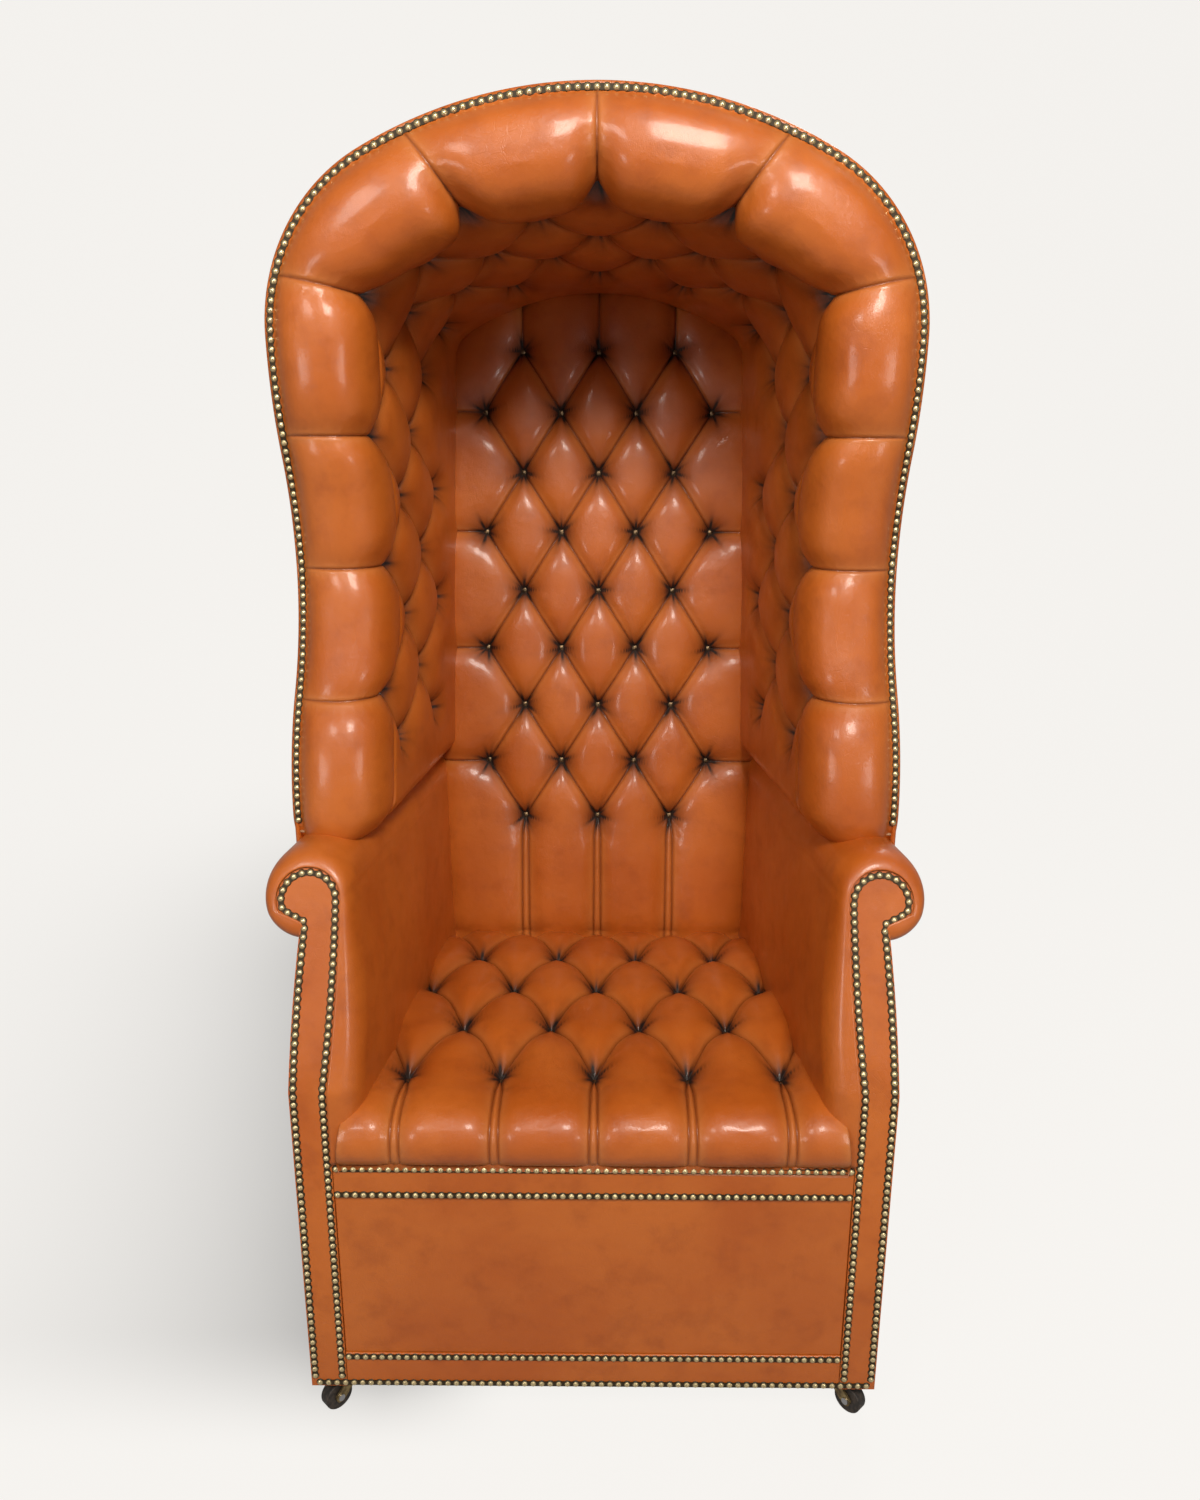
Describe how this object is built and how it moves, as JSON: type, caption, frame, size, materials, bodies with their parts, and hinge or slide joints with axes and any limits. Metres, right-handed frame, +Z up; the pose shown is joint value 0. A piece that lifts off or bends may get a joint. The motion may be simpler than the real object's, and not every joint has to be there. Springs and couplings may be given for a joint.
{
  "type": "hall porter chair",
  "caption": "Tall hooded hall chair in buttoned tan leather with rolled arms, dome-nail edging, a boxed base and brass castors; the castors swivel and their wheels turn.",
  "frame": {"origin": "on the floor under the middle of the chair's box", "axes": "+X to the chair's right-hand arm as seen from the front, +Y to its back, +Z up; the chair faces -Y"},
  "size_m": [0.7878, 0.7652, 1.5879],
  "materials": {
    "tan_leather": "burnt-orange tan hide, waxed, darker in the tufts",
    "antique_brass": "domed nail heads, aged brass",
    "button_bronze": "small dark bronze domed buttons",
    "castor_brass": "cast brass, dulled",
    "wheel_iron": "dark worn iron wheel",
    "steel": "plain steel wire and pins",
    "beech": "plain sawn beech, hidden",
    "hessian": "woven cloth over a thin board"
  },
  "bodies": {
    "chair": {"apron_bottom_band": "tan_leather", "apron_nails": "antique_brass", "apron_panel": "tan_leather", "apron_top_band": "tan_leather", "arm_pad_left": "tan_leather", "arm_pad_right": "tan_leather", "arm_rails": "beech", "back_buttons": "button_bronze", "back_edge_nails": "antique_brass", "back_hoop": "beech", "back_pad": "tan_leather", "back_panel": "tan_leather", "back_posts": "beech", "base_edge_nails": "antique_brass", "bottom_board": "beech", "bottom_cover": "hessian", "bottom_end_rails": "beech", "bottom_side_rails": "beech", "castor_plates": "castor_brass", "castor_screws": "steel", "corner_blocks": "beech", "facing_left": "tan_leather", "facing_nails": "antique_brass", "facing_right": "tan_leather", "front_hoop": "beech", "front_posts": "beech", "hood_buttons": "button_bronze", "hood_edge_nails": "antique_brass", "hood_roll_arch": "tan_leather", "hood_roll_left": "tan_leather", "hood_roll_right": "tan_leather", "hood_shell": "tan_leather", "hood_slats": "beech", "roof_lining": "tan_leather", "seat_back_rail": "beech", "seat_buttons": "button_bronze", "seat_deck": "hessian", "seat_front_rail": "beech", "seat_pad": "tan_leather", "seat_side_rails": "beech", "seat_springs": "steel", "side_panel_left": "tan_leather", "side_panel_right": "tan_leather", "spring_clips": "steel", "wing_lining_left": "tan_leather", "wing_lining_right": "tan_leather", "wing_panel_left": "tan_leather", "wing_panel_right": "tan_leather"},
    "castor_front_left": {"castor_horn_front_left": "castor_brass", "castor_axle_front_left": "steel"},
    "wheel_front_left": {"castor_wheel_front_left": "wheel_iron"},
    "castor_front_right": {"castor_horn_front_right": "castor_brass", "castor_axle_front_right": "steel"},
    "wheel_front_right": {"castor_wheel_front_right": "wheel_iron"},
    "castor_back_left": {"castor_horn_back_left": "castor_brass", "castor_axle_back_left": "steel"},
    "wheel_back_left": {"castor_wheel_back_left": "wheel_iron"},
    "castor_back_right": {"castor_horn_back_right": "castor_brass", "castor_axle_back_right": "steel"},
    "wheel_back_right": {"castor_wheel_back_right": "wheel_iron"}
  },
  "joints": [
    {"name": "front_left_swivel", "type": "hinge", "parent": "chair", "child": "castor_front_left", "pos_m": [-0.31459, -0.31803, 0.0485], "axis": [0, 0, 1], "continuous": true},
    {"name": "front_left_wheel_spin", "type": "hinge", "parent": "castor_front_left", "child": "wheel_front_left", "pos_m": [-0.33438, -0.33782, 0.019], "axis": [-0.7071, 0.7071, 0], "continuous": true},
    {"name": "front_right_swivel", "type": "hinge", "parent": "chair", "child": "castor_front_right", "pos_m": [0.31459, -0.31803, 0.0485], "axis": [0, 0, 1], "continuous": true},
    {"name": "front_right_wheel_spin", "type": "hinge", "parent": "castor_front_right", "child": "wheel_front_right", "pos_m": [0.33438, -0.33782, 0.019], "axis": [-0.7071, -0.7071, 0], "continuous": true},
    {"name": "back_left_swivel", "type": "hinge", "parent": "chair", "child": "castor_back_left", "pos_m": [-0.25442, 0.18197, 0.0485], "axis": [0, 0, 1], "continuous": true},
    {"name": "back_left_wheel_spin", "type": "hinge", "parent": "castor_back_left", "child": "wheel_back_left", "pos_m": [-0.25928, 0.20955, 0.019], "axis": [0.9848, 0.1736, 0], "continuous": true},
    {"name": "back_right_swivel", "type": "hinge", "parent": "chair", "child": "castor_back_right", "pos_m": [0.25442, 0.18197, 0.0485], "axis": [0, 0, 1], "continuous": true},
    {"name": "back_right_wheel_spin", "type": "hinge", "parent": "castor_back_right", "child": "wheel_back_right", "pos_m": [0.25928, 0.20955, 0.019], "axis": [0.9848, -0.1736, 0], "continuous": true}
  ]
}
